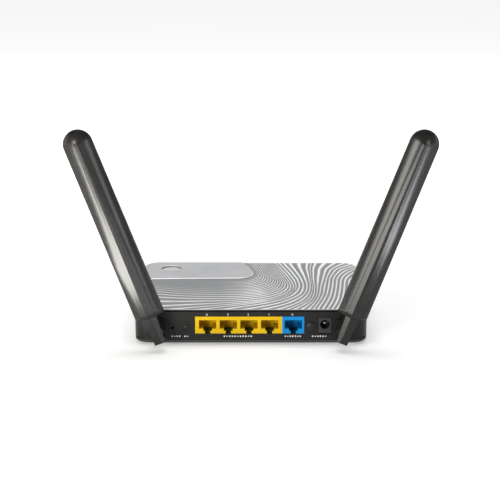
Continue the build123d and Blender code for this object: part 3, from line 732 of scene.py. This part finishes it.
def mark_row(name, left, right, z):
    """A row of small printed dashes that stands in for a label."""
    bm = bmesh.new()
    count = max(1, round((right - left) / DASH_PITCH))
    step = (right - left) / count
    for index in range(count):
        centre = left + step * (index + 0.5)
        tall = DASH_HEIGHTS[index % len(DASH_HEIGHTS)]
        size = Matrix.Diagonal((step * DASH_SHARE * MM, PRINT_LIFT, tall * MM, 1))
        where = Matrix.Translation((centre * MM, REAR_Y - PRINT_LIFT / 2, z * MM))
        bmesh.ops.create_cube(bm, size=1.0, matrix=where @ size)
    piece = add_object(name, mesh_of(name, bm), WHITE_PRINT)
    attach(piece, "root")


def printed_marks():
    """All the print on the rear wall."""
    for text, x in DIGITS:
        print_digit(text, x, DIGIT_Z, DIGIT_SIZE)
    for name, left, right in MARKS:
        mark_row(name, left, right, MARK_Z)


# ---------------------------------------------------------------------------
# Studio
# ---------------------------------------------------------------------------
WARM = (1.0, 0.98, 0.92)
COOL = (0.95, 0.96, 1.0)
# The table's glow: distances from the object in metres, and the strength at each
GLOW_DISTANCES = (0.10, 0.6)
GLOW_STRENGTHS = (0.33, 0.75)
STRIP_HEIGHT = 0.004
WORLD_STRENGTH = 0.2
# Camera: its place to the right of the middle, behind the rear face and over the table, in
# millimetres, the angle that it looks down, and its lens on a 36 mm sensor
CAMERA_ACROSS, CAMERA_BEHIND, CAMERA_HEIGHT = -0.66, 784.7, 284.0
CAMERA_DOWN = 15.47
CAMERA_LENS = 88.36


def floor():
    """Pale seamless table with a painted glow, weaker near the object, which paints shade round it, and stronger
    away from it.
    """
    bm = bmesh.new()
    bmesh.ops.create_grid(bm, x_segments=4, y_segments=4, size=40.0)
    piece = add_object("studio_floor", mesh_of("studio_floor", bm), floor_material())


def floor_material():
    """Nearly white matt table whose painted glow grows away from the object, standing in for studio light on the
    table.
    """
    material, tree, shader = new_material("pale_floor")
    drift = object_noise(tree, 3.0, 1.0)
    tree.links.new(tint(tree, drift, (0.80, 0.80, 0.80), (0.82, 0.82, 0.82)), shader.inputs["Base Color"])
    place = tree.nodes.new("ShaderNodeTexCoord")
    length = tree.nodes.new("ShaderNodeVectorMath")
    length.operation = "LENGTH"
    ranger = tree.nodes.new("ShaderNodeMapRange")
    ranger.interpolation_type = "SMOOTHSTEP"
    ranger.inputs["From Min"].default_value = GLOW_DISTANCES[0]
    ranger.inputs["From Max"].default_value = GLOW_DISTANCES[1]
    ranger.inputs["To Min"].default_value = GLOW_STRENGTHS[0]
    ranger.inputs["To Max"].default_value = GLOW_STRENGTHS[1]
    tree.links.new(place.outputs["Object"], length.inputs[0])
    tree.links.new(length.outputs["Value"], ranger.inputs["Value"])
    tree.links.new(ranger.outputs["Result"], shader.inputs["Emission Strength"])
    shader.inputs["Emission Color"].default_value = (1.0, 1.0, 1.0, 1.0)
    shader.inputs["Roughness"].default_value = 0.9
    shader.inputs["Specular IOR Level"].default_value = 0.1
    return material


def area_light(name, place, target, size, power, colour=(1, 1, 1)):
    """Rectangular soft light aimed at a point."""
    data = bpy.data.lights.new(name, "AREA")
    data.shape = "RECTANGLE"
    data.size, data.size_y = size
    data.energy = power
    data.color = colour
    lamp = bpy.data.objects.new(name, data)
    bpy.context.scene.collection.objects.link(lamp)
    lamp.location = place
    lamp.visible_camera = False
    aim = Vector(target) - Vector(place)
    lamp.rotation_euler = aim.to_track_quat("-Z", "Y").to_euler()
    return lamp


def table_strip(name, start, end, width, power, colour):
    """Slim light that lies on the table and shines upwards, so that the aerials' lower bevels catch it."""
    reach = Vector(end) - Vector(start)
    middle = (Vector(start) + Vector(end)) / 2
    place = (*middle, STRIP_HEIGHT)
    lamp = area_light(name, place, (*middle, 1.0), (reach.length, width), power, colour)
    lamp.rotation_euler = (math.pi, 0, math.atan2(reach.y, reach.x))


def studio():
    """World, lights and camera."""
    world = bpy.data.worlds.new("studio_world")
    bpy.context.scene.world = world
    world.use_nodes = True
    background = world.node_tree.nodes["Background"]
    background.inputs["Color"].default_value = (1.0, 1.0, 1.0, 1.0)
    background.inputs["Strength"].default_value = WORLD_STRENGTH
    area_light("back_light", (0.0, 1.3, 0.75), (0, 0, 0.02), (2.2, 0.8), 8.6)
    area_light("top_light", (0.0, 0.1, 1.4), (0, 0, 0), (1.2, 0.6), 9.0)
    area_light("left_strip", (-0.47, -0.87, 0.20), (0.05, 0, 0.10), (0.32, 0.4), 6.6, WARM)
    area_light("left_edge_strip", (-1.0, -0.40, 0.32), (-0.05, 0, 0.08), (0.14, 0.7), 1.6, WARM)
    area_light("right_strip", (0.54, -0.83, 0.20), (-0.05, 0, 0.10), (0.12, 0.4), 1.6, COOL)
    area_light("right_edge_strip", (1.0, -0.40, 0.32), (0.05, 0, 0.08), (0.14, 0.7), 1.2, COOL)
    table_strip("left_table_strip", (-0.125, -0.10), (-0.32, -0.42), 0.10, 3.4, WARM)
    table_strip("right_table_strip", (0.17, -0.15), (0.32, -0.42), 0.08, 1.5, COOL)
    bpy.context.scene.view_settings.view_transform = "Standard"
    camera_data = bpy.data.cameras.new("camera")
    camera_data.sensor_width = 36.0
    camera_data.lens = CAMERA_LENS
    camera = bpy.data.objects.new("camera", camera_data)
    bpy.context.scene.collection.objects.link(camera)
    camera.location = (CAMERA_ACROSS * MM, REAR_Y - CAMERA_BEHIND * MM, CAMERA_HEIGHT * MM)
    camera.rotation_euler = (math.radians(90 - CAMERA_DOWN), 0, 0)
    bpy.context.scene.camera = camera


dress_frame()
lid()
for side in ("left", "right"):
    front_shell(side)
    back_shell(side)
printed_marks()
floor()
studio()
